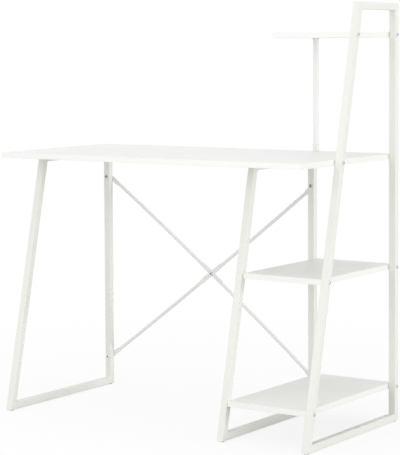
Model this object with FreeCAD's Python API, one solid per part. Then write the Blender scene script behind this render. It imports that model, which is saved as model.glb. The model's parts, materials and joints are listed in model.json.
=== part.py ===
# Ladder desk: a writing desk whose right end is a leaning ladder frame with three shelves.
#
# Three welded frames of square steel tube stand on floor glides. The left and middle frames
# carry the desktop, the tall ladder frame closes the right end and rises above it. Two
# shelves hang between the middle frame and the ladder, and a third is held high up by the
# ladder and a round post. Two pressed-end tubes cross behind the desk and stop it racking.
#
# While a piece is drawn, X runs along the desktop from its left edge, Y from its front edge
# to the back and Z up from the floor. The finished desk is moved so that its origin is at
# the middle of its footprint, on the floor. All sizes are in millimetres.

import FreeCAD, Part
import math
import os

Vector = FreeCAD.Vector

# ---- driving dimensions: the desk as a whole
DESK_LENGTH = 1000.0  # the desktop alone
DESK_DEPTH = 500.0
DESK_HEIGHT = 752.0  # floor to the desktop's upper face
LADDER_HEIGHT = 1170.0
BAY_WIDTH = 241.0  # clear width between the middle frame and the ladder frame
LEFT_FRAME_INSET = 5.0  # left frame in from the desktop's left edge
SIDE_FRAME_SETBACK = 165.0  # how far the side frames' front legs lean back at their top
LADDER_SETBACK = 278.0

# ---- driving dimensions: boards of faced chipboard with glued edge bands
BOARD_THICKNESS = 15.0
EDGE_BAND = 0.8
EDGE_BAND_CHAMFER = 0.5  # softened outer corner of the band
BOTTOM_SHELF_HEIGHT = 108.0  # floor to each shelf's upper face
MIDDLE_SHELF_HEIGHT = 443.0
TOP_SHELF_HEIGHT = 1090.0

# ---- driving dimensions: square tube of the frames
TUBE_SIZE = 20.0
TUBE_WALL = 1.2
TUBE_CORNER = 1.2  # flat across each long edge, where the rolled tube is rounded

# ---- driving dimensions: post under the top shelf
POST_DIAMETER = 16.0
POST_WALL = 1.2
POST_FROM_END = 15.0  # post centre in from the top shelf's free end
POST_FROM_REAR = 33.0  # post centre in from the rear edge
POST_PLUG_LENGTH = 15.0
COLLAR_WALL = 1.2
COLLAR_CLEARANCE = 0.1  # radial, collar round the post
BASE_COLLAR_HEIGHT = 22.0
TOP_COLLAR_HEIGHT = 5.0

# ---- driving dimensions: cross braces, round tube pressed flat at its ends and middle
BRACE_DIAMETER = 10.0
BRACE_WALL = 1.0
BRACE_FLAT = 2.4  # thickness where the tube is pressed flat
BRACE_FLAT_WIDTH = 14.0
BRACE_TAB_LENGTH = 28.0  # from the bolt to where the tube starts to open out
BRACE_PRESS_LENGTH = 18.0  # from flat to fully round
BRACE_CROSSING_HALF = 34.0  # half of the flat stretch at the crossing
BRACE_BOW = 12.0  # how far the braces bend back on their way to the crossing
BRACE_SIDES = 12  # sides that the brace's round section is drawn with
BRACE_LOW = 88.0  # heights of the brace bolts
BRACE_HIGH = 652.0

# ---- driving dimensions: fasteners, all of one thread size
THREAD_DIAMETER = 6.0
THREAD_CLEARANCE = 0.05  # radial, bolt in insert, nut or plug
HOLE_CLEARANCE = 0.25  # radial, bolt through a tube, board or brace
HEAD_DIAMETER = 10.5
HEAD_HEIGHT = 3.0
SOCKET_ACROSS_FLATS = 4.0
SOCKET_DEPTH = 2.0
NUT_ACROSS_FLATS = 10.0
NUT_HEIGHT = 5.0
THREAD_SHOWING = 1.0  # bolt end past its nut
INSERT_DIAMETER = 9.0
INSERT_LENGTH = 10.0
INSERT_CLEARANCE = 0.05  # radial, insert in its pocket
POCKET_RUNOUT = 1.5  # pocket deeper than the insert
INSERT_FROM_FRONT = 6.2  # the least from an insert's middle to the board's front edge
RAIL_BOLT_FROM_FRONT = 125.0  # bolts up through a frame's top rail, in from the rail's ends
RAIL_BOLT_FROM_REAR = 60.0
ROUND_SIDES = 24  # sides that bolt heads, glides and brace ends are drawn with
SMALL_SIDES = 12  # sides of the small bores, shanks and sleeves that nobody sees

# ---- driving dimensions: floor glides
GLIDE_DIAMETER = 13.0
GLIDE_HEIGHT = 2.5
GLIDE_STEM_DIAMETER = 5.0
GLIDE_STEM_LENGTH = 4.5
GLIDE_FROM_END = 12.0  # glide centre in from the foot rail's ends
STEM_CLEARANCE = 0.05  # radial, glide stem in its hole

# ---- worked out from the driving dimensions
RIGHT = Vector(1, 0, 0)
LEFT = Vector(-1, 0, 0)
BACK = Vector(0, 1, 0)
UP = Vector(0, 0, 1)
BAY_LEFT = DESK_LENGTH - BAY_WIDTH
LEFT_FRAME_X = LEFT_FRAME_INSET + TUBE_SIZE / 2  # middle planes of the three frames
MIDDLE_FRAME_X = BAY_LEFT - TUBE_SIZE / 2
LADDER_X = DESK_LENGTH + TUBE_SIZE / 2
DESK_UNDERSIDE = DESK_HEIGHT - BOARD_THICKNESS
TOP_SHELF_UNDERSIDE = TOP_SHELF_HEIGHT - BOARD_THICKNESS
REAR_LEG_Y = DESK_DEPTH - TUBE_SIZE / 2
HOLE_RADIUS = THREAD_DIAMETER / 2 + HOLE_CLEARANCE
THREADED_RADIUS = THREAD_DIAMETER / 2 + THREAD_CLEARANCE
FRAME_BOLT_LENGTH = TUBE_SIZE + INSERT_LENGTH
POST_BOLT_LENGTH = BOARD_THICKNESS + POST_PLUG_LENGTH
POST_STUD_LENGTH = POST_PLUG_LENGTH + INSERT_LENGTH
BRACE_BOLT_LENGTH = TUBE_SIZE + BRACE_FLAT + NUT_HEIGHT + THREAD_SHOWING
CROSSING_BOLT_LENGTH = 2 * BRACE_FLAT + NUT_HEIGHT + THREAD_SHOWING
BRACE_Y = DESK_DEPTH + BRACE_DIAMETER / 2  # a brace's centre line near its ends
CROSSING_Y = BRACE_Y + BRACE_BOW  # where the two braces touch


# ---- helpers

def placed(shape, point, direction):
    """A copy of a shape drawn up the Z axis, moved to point and turned along direction."""
    copy = shape.copy()
    copy.Placement = FreeCAD.Placement(point, FreeCAD.Rotation(UP, direction))
    return copy


def bar(sides, corner_radius, length):
    """A many-sided bar up the Z axis, its corners on a circle."""
    points = []
    for step in range(sides + 1):
        angle = math.tau * step / sides
        points.append(Vector(corner_radius * math.cos(angle), corner_radius * math.sin(angle), 0))
    return Part.Face(Part.makePolygon(points)).extrude(UP * length)


def hexagon_bar(across_flats, length):
    """A hexagonal bar up the Z axis, named by the spanner that fits it."""
    return bar(6, across_flats / math.sqrt(3), length)


def small_round(radius, length):
    """A thin round bar up the Z axis, drawn with few sides: a shank, a sleeve or its bore."""
    return bar(SMALL_SIDES, radius, length)


def drilled(shape, point, direction, radius, depth):
    """The shape with a small round hole that starts at point."""
    return shape.cut(placed(small_round(radius, depth), point, direction))


def group(shapes):
    """Several separate solids as one piece of the kit, such as a bag of equal bolts."""
    return Part.makeCompound(shapes)


# ---- fasteners

def bolt(length):
    """Flat-headed bolt with a hexagon socket. Its head bears at z = 0 and it points up."""
    underside = UP * -HEAD_HEIGHT
    head = placed(bar(ROUND_SIDES, HEAD_DIAMETER / 2, HEAD_HEIGHT), underside, UP)
    socket = placed(hexagon_bar(SOCKET_ACROSS_FLATS, SOCKET_DEPTH), underside, UP)
    return head.fuse(small_round(THREAD_DIAMETER / 2, length)).cut(socket)


def nut():
    """Hexagon nut that bears at z = 0."""
    return hexagon_bar(NUT_ACROSS_FLATS, NUT_HEIGHT).cut(small_round(THREADED_RADIUS, NUT_HEIGHT))


def insert():
    """Threaded sleeve, its mouth at z = 0, pressed into a board."""
    sleeve = small_round(INSERT_DIAMETER / 2, INSERT_LENGTH)
    return sleeve.cut(small_round(THREADED_RADIUS, INSERT_LENGTH))


def insert_pocket():
    """What is bored out of a board for an insert."""
    return small_round(INSERT_DIAMETER / 2 + INSERT_CLEARANCE, INSERT_LENGTH + POCKET_RUNOUT)


def glide():
    """Floor glide: a round foot with a stem that plugs into the rail above it."""
    foot = bar(ROUND_SIDES, GLIDE_DIAMETER / 2, GLIDE_HEIGHT)
    return foot.fuse(small_round(GLIDE_STEM_DIAMETER / 2, GLIDE_HEIGHT + GLIDE_STEM_LENGTH))


# ---- welded frames of mitred square tube

class Frame:
    """A four-sided frame in an upright plane, its front leg leaning back."""

    def __init__(self, middle_x, setback, top):
        self.middle_x = middle_x
        self.setback = setback
        self.top = top
        self.lean = setback / (top - GLIDE_HEIGHT)
        self.tubes = self.mitred_tubes()

    def front_face(self, height):
        """Where the leaning leg's front face is at a height."""
        return self.lean * (height - GLIDE_HEIGHT)

    def front_leg(self, height):
        """Where the leaning leg's centre line is at a height."""
        return self.front_face(height) + TUBE_SIZE / 2 * math.hypot(1, self.lean)

    def mitred_tubes(self):
        """The four tubes, cut where the frame's outer and inner corners meet."""
        outer = [
            Vector(self.middle_x, 0, GLIDE_HEIGHT),
            Vector(self.middle_x, DESK_DEPTH, GLIDE_HEIGHT),
            Vector(self.middle_x, DESK_DEPTH, self.top),
            Vector(self.middle_x, self.setback, self.top),
        ]
        inner = inset_corners(outer)
        tubes = {}
        for side, name in enumerate(["foot_rail", "rear_leg", "top_rail", "front_leg"]):
            following = (side + 1) % len(outer)
            tubes[name] = mitred_tube(outer[side], outer[following], inner[following], inner[side])
        return tubes

    def drill(self, name, point, direction):
        """A bolt hole right through one of the tubes."""
        self.tubes[name] = drilled(self.tubes[name], point, direction, HOLE_RADIUS, TUBE_SIZE)

    def plug_glides(self):
        """Stem holes in the foot rail, and the two glides that fill them."""
        glides = []
        for y in (GLIDE_FROM_END, DESK_DEPTH - GLIDE_FROM_END):
            foot = Vector(self.middle_x, y, 0)
            stem = GLIDE_STEM_DIAMETER / 2 + STEM_CLEARANCE
            rail = self.tubes["foot_rail"]
            self.tubes["foot_rail"] = drilled(rail, foot, UP, stem, GLIDE_HEIGHT + TUBE_WALL)
            glides.append(placed(glide(), foot, UP))
        return glides


def inward(start, end):
    """Unit vector from an edge of a frame's outline towards the frame's inside."""
    return RIGHT.cross((end - start).normalize())


def inset_corners(corners):
    """The frame's inner corners, one tube in from its outer corners."""
    inner = []
    for index, corner in enumerate(corners):
        before = inward(corners[index - 1], corner)
        after = inward(corner, corners[(index + 1) % len(corners)])
        inner.append(corner + (before + after) * (TUBE_SIZE / (1 + before.dot(after))))
    return inner


def square_tube(length):
    """Straight hollow tube up the Z axis, with a narrow flat across each long edge."""
    half = TUBE_SIZE / 2
    shoulder = half - TUBE_CORNER
    bore = TUBE_SIZE - 2 * TUBE_WALL
    outline = [
        Vector(shoulder, -half, 0), Vector(half, -shoulder, 0),
        Vector(half, shoulder, 0), Vector(shoulder, half, 0),
        Vector(-shoulder, half, 0), Vector(-half, shoulder, 0),
        Vector(-half, -shoulder, 0), Vector(-shoulder, -half, 0),
    ]
    solid = Part.Face(Part.makePolygon(outline + outline[:1])).extrude(UP * length)
    return solid.cut(Part.makeBox(bore, bore, length, Vector(-bore / 2, -bore / 2, 0)))


def mitred_tube(outer_start, outer_end, inner_end, inner_start):
    """Hollow square tube between two mitres, its outer face on the line between outer corners."""
    run = outer_end - outer_start
    tube = square_tube(run.Length + 2 * TUBE_SIZE)
    along = run.normalize()
    middle = inward(outer_start, outer_end) * (TUBE_SIZE / 2)
    tube = placed(tube, outer_start + middle - along * TUBE_SIZE, along)
    side_view = Part.Face(Part.makePolygon([outer_start, outer_end, inner_end, inner_start, outer_start]))
    side_view.translate(LEFT * (TUBE_SIZE / 2))
    return tube.common(side_view.extrude(RIGHT * TUBE_SIZE))


# ---- joints between a frame and a board

class Joint:
    """A bolt through a tube into an insert in a board. It meets the board at point."""

    def __init__(self, frame, tube_name, point, direction):
        self.point = point
        self.direction = direction
        self.head = point - direction * TUBE_SIZE
        frame.drill(tube_name, self.head, direction)

    def bolt(self):
        return placed(bolt(FRAME_BOLT_LENGTH), self.head, self.direction)

    def insert(self):
        return placed(insert(), self.point, self.direction)

    def pocket(self):
        return placed(insert_pocket(), self.point, self.direction)


def front_joint(frame, board_end, board_front, board_top, direction):
    """The joint between a board's end and a frame's leaning front leg.

    It is in the middle of the leg, unless the insert would then break out of the board.
    """
    height = board_top - BOARD_THICKNESS / 2
    y = max(frame.front_leg(height), board_front + INSERT_FROM_FRONT)
    return Joint(frame, "front_leg", Vector(board_end, y, height), direction)


def rear_joint(frame, board_end, board_top, direction):
    """The joint between a board's end and a frame's upright rear leg."""
    point = Vector(board_end, REAR_LEG_Y, board_top - BOARD_THICKNESS / 2)
    return Joint(frame, "rear_leg", point, direction)


def end_joints(frame, shelf_end, shelf_front, shelf_top, direction):
    """The two joints, front and rear, between a shelf's end and a frame."""
    return [
        front_joint(frame, shelf_end, shelf_front, shelf_top, direction),
        rear_joint(frame, shelf_end, shelf_top, direction),
    ]


def rail_joints(frame):
    """The two joints between a frame's top rail and the desktop that lies on it."""
    front = Vector(frame.middle_x, frame.setback + RAIL_BOLT_FROM_FRONT, DESK_UNDERSIDE)
    rear = Vector(frame.middle_x, DESK_DEPTH - RAIL_BOLT_FROM_REAR, DESK_UNDERSIDE)
    return [Joint(frame, "top_rail", point, UP) for point in (front, rear)]


# ---- boards

class Board:
    """A faced chipboard panel with a glued band along each of its four edges."""

    def __init__(self, left, front, top, length):
        depth = DESK_DEPTH - front
        inner_length = length - 2 * EDGE_BAND
        inner_depth = depth - 2 * EDGE_BAND
        self.corner = Vector(left, front, top - BOARD_THICKNESS)
        self.panel = Part.makeBox(
            inner_length, inner_depth, BOARD_THICKNESS, self.corner + Vector(EDGE_BAND, EDGE_BAND, 0))
        self.bands = [
            self.band(Vector(0, EDGE_BAND, 0), -BACK, RIGHT * length),
            self.band(Vector(0, depth - EDGE_BAND, 0), BACK, RIGHT * length),
            self.band(Vector(EDGE_BAND, EDGE_BAND, 0), LEFT, BACK * inner_depth),
            self.band(Vector(length - EDGE_BAND, EDGE_BAND, 0), RIGHT, BACK * inner_depth),
        ]

    def band(self, start, outward, run):
        """One edge band, glued on at start and laid along run, its outer corners softened."""
        shoulder = EDGE_BAND - EDGE_BAND_CHAMFER
        outline = []
        for proud, height in (
            (0, 0),
            (shoulder, 0),
            (EDGE_BAND, EDGE_BAND_CHAMFER),
            (EDGE_BAND, BOARD_THICKNESS - EDGE_BAND_CHAMFER),
            (shoulder, BOARD_THICKNESS),
            (0, BOARD_THICKNESS),
            (0, 0),
        ):
            outline.append(self.corner + start + outward * proud + UP * height)
        return Part.Face(Part.makePolygon(outline)).extrude(run)

    def cut(self, tool):
        """Take a pocket or hole out of the panel and of any band it passes through."""
        self.panel = self.panel.cut(tool)
        self.bands = [band.cut(tool) for band in self.bands]

    def bore_pockets(self, joints):
        for joint in joints:
            self.cut(joint.pocket())


# ---- cross braces

def brace_outline(station, middle_y, width, thickness):
    """Outline across a brace: a circle as wide as the brace is there, squeezed to a thickness."""
    points = []
    for step in range(BRACE_SIDES + 1):
        angle = math.tau * step / BRACE_SIDES
        squeezed = min(max(width / 2 * math.cos(angle), -thickness / 2), thickness / 2)
        points.append(Vector(station, middle_y + squeezed, width / 2 * math.sin(angle)))
    return Part.makePolygon(points)


def pressed(station, middle_y):
    """What brace_outline needs for a place where the tube is pressed flat."""
    return station, middle_y, BRACE_FLAT_WIDTH, BRACE_FLAT


def unpressed(station, middle_y):
    """What brace_outline needs for a place where the tube is still round."""
    return station, middle_y, BRACE_DIAMETER, BRACE_DIAMETER


def brace_loft(places, inset):
    """Solid through the outlines at the places, everywhere the inset in from the tube's skin."""
    outlines = []
    for station, middle_y, width, thickness in places:
        outlines.append(brace_outline(station, middle_y, width - 2 * inset, thickness - 2 * inset))
    return Part.makeLoft(outlines, True, True)


def brace(left_height, right_height, crossing_y):
    """Round tube with pressed, drilled tabs at both ends and a pressed flat at the crossing.

    It is drawn level along X, with the tube's centre line near its ends on the X axis, then
    tilted into place behind the rear legs. Its tabs step forwards to lie against the legs, and
    the tube bends back towards the crossing.
    """
    rise = right_height - left_height
    span = MIDDLE_FRAME_X - LEFT_FRAME_X
    length = math.hypot(span, rise)
    middle = length / 2
    tab_y = (BRACE_FLAT - BRACE_DIAMETER) / 2
    crossing = middle - BRACE_CROSSING_HALF
    opened = BRACE_TAB_LENGTH + BRACE_PRESS_LENGTH
    closing = crossing - BRACE_PRESS_LENGTH
    left_half = [
        pressed(BRACE_TAB_LENGTH, tab_y),
        unpressed(opened, 0),
        unpressed((opened + closing) / 2, 0.75 * BRACE_BOW),
        unpressed(closing, BRACE_BOW),
        pressed(crossing, BRACE_BOW + crossing_y),
    ]
    right_half = [(length - station, *rest) for station, *rest in reversed(left_half)]
    shape = brace_loft([pressed(0, tab_y), *left_half, *right_half, pressed(length, tab_y)], 0)
    for station in (0, length):
        face = Vector(station, -BRACE_DIAMETER / 2, 0)
        rounded_end = bar(ROUND_SIDES, BRACE_FLAT_WIDTH / 2, BRACE_FLAT)
        shape = shape.fuse(placed(rounded_end, face, BACK))
    shape = shape.cut([brace_loft(left_half, BRACE_WALL), brace_loft(right_half, BRACE_WALL)])
    for station in (0, middle, length):
        face = Vector(station, -BRACE_DIAMETER, 0)
        shape = drilled(shape, face, BACK, HOLE_RADIUS, 2 * BRACE_DIAMETER + BRACE_BOW)
    shape.rotate(Vector(), BACK, -math.degrees(math.atan2(rise, span)))
    shape.translate(Vector(LEFT_FRAME_X, BRACE_Y, left_height))
    return shape


def brace_nodes(left_frame, middle_frame):
    """The two braces, the bolts that hold them to the rear legs and to each other."""
    bolts = []
    nuts = []
    for frame in (left_frame, middle_frame):
        for height in (BRACE_LOW, BRACE_HIGH):
            head = Vector(frame.middle_x, DESK_DEPTH - TUBE_SIZE, height)
            frame.drill("rear_leg", head, BACK)
            bolts.append(placed(bolt(BRACE_BOLT_LENGTH), head, BACK))
            nuts.append(placed(nut(), head + BACK * (TUBE_SIZE + BRACE_FLAT), BACK))
    crossing = Vector((LEFT_FRAME_X + MIDDLE_FRAME_X) / 2, CROSSING_Y, (BRACE_LOW + BRACE_HIGH) / 2)
    return {
        "brace_rising": brace(BRACE_LOW, BRACE_HIGH, -BRACE_FLAT / 2),
        "brace_falling": brace(BRACE_HIGH, BRACE_LOW, BRACE_FLAT / 2),
        "brace_end_bolts": group(bolts),
        "brace_end_nuts": group(nuts),
        "brace_crossing_bolt": placed(bolt(CROSSING_BOLT_LENGTH), crossing - BACK * BRACE_FLAT, BACK),
        "brace_crossing_nut": placed(nut(), crossing + BACK * BRACE_FLAT, BACK),
    }


# ---- post under the top shelf

def collar(foot, height):
    """Ring that slides over the post and hides its end. It stands on the point foot."""
    bore = POST_DIAMETER / 2 + COLLAR_CLEARANCE
    solid = bar(ROUND_SIDES, bore + COLLAR_WALL, height).cut(bar(ROUND_SIDES, bore, height))
    return placed(solid, foot, UP)


def post_plug(radius, foot):
    """Round plug inside the post, with a threaded hole right through it."""
    plug = Part.makeCylinder(radius, POST_PLUG_LENGTH, foot)
    return drilled(plug, foot, UP, THREADED_RADIUS, POST_PLUG_LENGTH)


def post_nodes(desktop, top_shelf):
    """The post, its collars and threaded plugs, and what fastens it below and above."""
    foot = Vector(BAY_LEFT + POST_FROM_END, DESK_DEPTH - POST_FROM_REAR, DESK_HEIGHT)
    height = TOP_SHELF_UNDERSIDE - DESK_HEIGHT
    head = foot + UP * height
    bore = POST_DIAMETER / 2 - POST_WALL
    tube = Part.makeCylinder(POST_DIAMETER / 2, height, foot)
    under_desk = foot - UP * BOARD_THICKNESS
    under_upper_plug = head - UP * POST_PLUG_LENGTH
    desktop.cut(placed(small_round(HOLE_RADIUS, BOARD_THICKNESS), under_desk, UP))
    top_shelf.cut(placed(insert_pocket(), head, UP))
    return {
        "shelf_post": tube.cut(Part.makeCylinder(bore, height, foot)),
        "post_base_collar": collar(foot, BASE_COLLAR_HEIGHT),
        "post_top_collar": collar(head - UP * TOP_COLLAR_HEIGHT, TOP_COLLAR_HEIGHT),
        "post_plugs": group([post_plug(bore, foot), post_plug(bore, under_upper_plug)]),
        "post_bolt": placed(bolt(POST_BOLT_LENGTH), under_desk, UP),
        "post_stud": placed(small_round(THREAD_DIAMETER / 2, POST_STUD_LENGTH), under_upper_plug, UP),
        "post_insert": placed(insert(), head, UP),
    }


# ---- the whole desk

def build_desk():
    """Every piece of the desk by name."""
    frames = {
        "left": Frame(LEFT_FRAME_X, SIDE_FRAME_SETBACK, DESK_UNDERSIDE),
        "middle": Frame(MIDDLE_FRAME_X, SIDE_FRAME_SETBACK, DESK_UNDERSIDE),
        "ladder": Frame(LADDER_X, LADDER_SETBACK, LADDER_HEIGHT),
    }
    middle = frames["middle"]
    ladder = frames["ladder"]

    boards = {"desktop": Board(0, 0, DESK_HEIGHT, DESK_LENGTH)}
    joints = {
        "desktop": [front_joint(ladder, DESK_LENGTH, 0, DESK_HEIGHT, LEFT)],
        "desktop_rail": rail_joints(frames["left"]) + rail_joints(middle),
    }
    shelf_heights = {
        "top_shelf": TOP_SHELF_HEIGHT,
        "middle_shelf": MIDDLE_SHELF_HEIGHT,
        "bottom_shelf": BOTTOM_SHELF_HEIGHT,
    }
    for name, top in shelf_heights.items():
        front = ladder.front_face(top)
        boards[name] = Board(BAY_LEFT, front, top, BAY_WIDTH)
        joints[name] = end_joints(ladder, DESK_LENGTH, front, top, LEFT)
        if name != "top_shelf":
            joints[name] += end_joints(middle, BAY_LEFT, front, top, RIGHT)

    nodes = {}
    for name, meetings in joints.items():
        boards[name.removesuffix("_rail")].bore_pockets(meetings)
        nodes[name + "_bolts"] = group([joint.bolt() for joint in meetings])
        nodes[name + "_inserts"] = group([joint.insert() for joint in meetings])
    nodes.update(brace_nodes(frames["left"], middle))
    nodes.update(post_nodes(boards["desktop"], boards["top_shelf"]))
    nodes["floor_glides"] = group(
        [one for frame in frames.values() for one in frame.plug_glides()])
    for name, frame in frames.items():
        for part_name, tube in frame.tubes.items():
            nodes[name + "_" + part_name] = tube
    for name, board in boards.items():
        nodes[name] = board.panel
        nodes[name + "_edge_bands"] = group(board.bands)
    return nodes


def main():
    os.makedirs("parts", exist_ok=True)
    nodes = build_desk()
    bounds = group(list(nodes.values())).BoundBox
    origin = Vector(bounds.Center.x, bounds.Center.y, 0)
    for name, shape in sorted(nodes.items()):
        shape.translate(-origin)
        shape.exportStep("parts/" + name + ".step")
        print(f"{name}: {len(shape.Solids)} solid(s), {shape.Volume / 1000:.2f} cm3")
    print(f"overall {bounds.XLength:.2f} x {bounds.YLength:.2f} x {bounds.ZLength:.2f} mm")


main()
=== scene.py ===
# %% [markdown]
# # A white ladder desk
#
# The desk is a long writing board on two leaning frames of square steel tube. A third and
# taller frame, the ladder, closes its right end and carries three shelves. The frame that is
# loaded here already holds every piece at its real size and place. What this script adds is
# how the pieces look: rounded tube, pressed braces, turned screws, and a finish on each
# surface. Everything is in metres, with Z up and the floor at zero.

# %% Load the desk
import json
import math
import bmesh
import bpy
from mathutils import Matrix, Vector


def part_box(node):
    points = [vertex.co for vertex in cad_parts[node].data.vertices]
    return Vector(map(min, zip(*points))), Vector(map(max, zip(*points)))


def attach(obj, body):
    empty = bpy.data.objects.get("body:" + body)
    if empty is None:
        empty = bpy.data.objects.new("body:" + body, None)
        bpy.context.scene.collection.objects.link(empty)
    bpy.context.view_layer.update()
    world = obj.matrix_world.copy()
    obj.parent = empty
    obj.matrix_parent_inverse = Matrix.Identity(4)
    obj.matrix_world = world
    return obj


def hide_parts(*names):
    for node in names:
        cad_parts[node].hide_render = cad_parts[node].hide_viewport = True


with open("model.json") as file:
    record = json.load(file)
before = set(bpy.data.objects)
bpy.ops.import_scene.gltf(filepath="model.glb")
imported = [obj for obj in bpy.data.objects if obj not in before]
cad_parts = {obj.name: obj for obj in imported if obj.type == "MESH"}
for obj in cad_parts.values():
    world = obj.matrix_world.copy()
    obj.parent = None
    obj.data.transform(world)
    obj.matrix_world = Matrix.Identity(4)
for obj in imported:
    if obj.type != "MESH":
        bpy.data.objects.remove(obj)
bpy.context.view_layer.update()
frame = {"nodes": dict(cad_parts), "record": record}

desk_nodes = frame["nodes"]

# %% [markdown]
# ## The camera
#
# A camera is a lens, a place and a direction. The lens is given here by its focal length in
# pixels, and Blender wants millimetres on a sensor whose 36 mm are the image's long side. The
# desk is seen from its right front and from a little above the desktop. The lens hardly tilts,
# so upright tubes stay upright. Instead it is shifted, as an architect's lens is, until the
# whole desk is in the image.

# %% Place the camera
IMAGE_WIDTH = 400  # pixels
IMAGE_HEIGHT = 455
FOCAL_PIXELS = 1747.7
LENS_CENTRE_X = 165.0  # where the lens points, in pixels from the image's upper left corner
LENS_CENTRE_Y = 154.9
CAMERA_PLACE = Vector((2.7756, -4.1028, 1.0561))
CAMERA_TURN = math.radians(35.21)  # to the left of straight ahead
CAMERA_TILT = math.radians(-3.574)  # below the horizon
CAMERA_ROLL = math.radians(-0.378)

lens = bpy.data.cameras.new("camera")
lens.lens = FOCAL_PIXELS / IMAGE_HEIGHT * lens.sensor_width
lens.shift_x = (IMAGE_WIDTH / 2 - LENS_CENTRE_X) / IMAGE_HEIGHT
lens.shift_y = (LENS_CENTRE_Y - IMAGE_HEIGHT / 2) / IMAGE_HEIGHT
lens.clip_end = 100  # metres, farther than any corner of the floor
camera = bpy.data.objects.new("camera", lens)
camera.matrix_world = (
    Matrix.Translation(CAMERA_PLACE)
    @ Matrix.Rotation(CAMERA_TURN, 4, "Z")
    @ Matrix.Rotation(math.radians(90) + CAMERA_TILT, 4, "X")
    @ Matrix.Rotation(CAMERA_ROLL, 4, "Z")
)
bpy.context.scene.collection.objects.link(camera)
bpy.context.scene.camera = camera
print("lens", round(lens.lens, 1), "mm, shift", round(lens.shift_x, 3), round(lens.shift_y, 3))

# %% [markdown]
# ## Wiring nodes
#
# A material is a tree of nodes, and every node has sockets. A socket holds a plain value or
# takes a wire from another node. These helpers give it whichever comes.

# %% Feed a socket
def feed(tree, socket, value):
    """Gives a socket a wire, a colour or a number."""
    if isinstance(value, bpy.types.NodeSocket):
        tree.links.new(value, socket)
    elif isinstance(value, tuple):
        socket.default_value = (*value, 1)
    else:
        socket.default_value = value


def feed_all(tree, node, **values):
    """Feeds several sockets of a node. A socket called From Min is written from_min."""
    for name, value in values.items():
        feed(tree, node.inputs[name.replace("_", " ").title()], value)


print("the word base_color stands for the socket", "base_color".replace("_", " ").title())

# %% [markdown]
# Four kinds of node are needed again and again, and each gets a helper that places it.

# %% Place the common nodes
def arithmetic(tree, operation, first, second):
    """One step of arithmetic on two numbers."""
    node = tree.nodes.new("ShaderNodeMath")
    node.operation = operation
    feed(tree, node.inputs[0], first)
    feed(tree, node.inputs[1], second)
    return node.outputs[0]


def stretch(tree, value, smooth=False, **ends):
    """Moves a value from one range, from_min to from_max, to another, to_min to to_max."""
    node = tree.nodes.new("ShaderNodeMapRange")
    node.interpolation_type = "SMOOTHSTEP" if smooth else "LINEAR"
    feed_all(tree, node, value=value, **ends)
    return node.outputs["Result"]


def blend(tree, factor, first, second):
    """A colour that is a factor of the way from one to another."""
    node = tree.nodes.new("ShaderNodeMix")
    node.data_type = "RGBA"
    feed_all(tree, node, factor=factor, a=first, b=second)
    return node.outputs["Result"]


def noise(tree, vector, scale, **settings):
    """Plain noise, read at a vector."""
    node = tree.nodes.new("ShaderNodeTexNoise")
    feed_all(tree, node, vector=vector, scale=scale, **settings)
    return node.outputs["Fac"]


print("the helpers place the nodes Math, Map Range, Mix and Noise Texture")

# %% [markdown]
# ## Patterns that several finishes share
#
# A node group is a small machine with named sockets, built once and used in many materials.
# It only puts out numbers, and each material decides what they do. Every size goes in as
# metres, so that a value of 0.001 is one millimetre on the real desk. This helper starts a
# group with its sockets.

# %% Start a node group
def new_group(name, output, **inputs):
    """An empty node group that takes a vector and named numbers, and puts out one number."""
    group = bpy.data.node_groups.new(name, "ShaderNodeTree")
    sockets = group.interface
    sockets.new_socket("Vector", in_out="INPUT", socket_type="NodeSocketVector")
    for input_name, value in inputs.items():
        number = sockets.new_socket(input_name, in_out="INPUT", socket_type="NodeSocketFloat")
        number.default_value = value
    sockets.new_socket(output, in_out="OUTPUT", socket_type="NodeSocketFloat")
    print("group", name, "takes", ["Vector", *inputs])
    return group, group.nodes.new("NodeGroupInput"), group.nodes.new("NodeGroupOutput")


# %% [markdown]
# The first pattern is grain, the pebbled skin that powder coat and melamine both have. A
# painter calls it orange peel. It is plain noise, with the size of a pebble as its input. A
# texture's scale is 1 divided by a size.

# %% Grain
def grain_group():
    """Pebbles of one size, as a height."""
    group, given, result = new_group("fine_grain", "Height", Size=0.001, Softness=0.5)
    scale = arithmetic(group, "DIVIDE", 1.0, given.outputs["Size"])
    softness = given.outputs["Softness"]
    pebbles = noise(group, given.outputs["Vector"], scale, detail=2.0, roughness=softness)
    feed(group, result.inputs["Height"], pebbles)
    return group


GRAIN = grain_group()

# %% [markdown]
# The second is soft marks: broad, faint clouds where hands and cloths have changed how a
# surface shines. The noise is pushed apart, so that the clouds have clear areas between them.

# %% Soft marks
def marks_group():
    """Broad clouds from 0 to 1, pushed apart between a low and a high."""
    group, given, result = new_group("soft_marks", "Mask", Size=0.2, Low=0.35, High=0.65)
    scale = arithmetic(group, "DIVIDE", 1.0, given.outputs["Size"])
    clouds = noise(group, given.outputs["Vector"], scale, detail=4.0, distortion=0.6)
    low, high = given.outputs["Low"], given.outputs["High"]
    feed(group, result.inputs["Mask"], stretch(group, clouds, from_min=low, from_max=high))
    return group


MARKS = marks_group()

# %% [markdown]
# The third is streaks. A plastic strip is drawn out of a die and scraped flush, and both
# leave lines along it. They are noise too, on a vector that is divided by a long and a short
# size, so the noise is stretched along the vector's X.

# %% Streaks
def streaks_group():
    """Long thin lines along X of the vector."""
    group, given, result = new_group("long_streaks", "Mask", Length=0.04, Width=0.0004)
    length, width = given.outputs["Length"], given.outputs["Width"]
    sizes = group.nodes.new("ShaderNodeCombineXYZ")
    feed_all(group, sizes, x=length, y=width, z=width)
    stretched = group.nodes.new("ShaderNodeVectorMath")
    stretched.operation = "DIVIDE"
    feed(group, stretched.inputs[0], given.outputs["Vector"])
    feed(group, stretched.inputs[1], sizes.outputs["Vector"])
    lines = noise(group, stretched.outputs["Vector"], 1.0, detail=3.0)
    feed(group, result.inputs["Mask"], lines)
    return group


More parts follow.
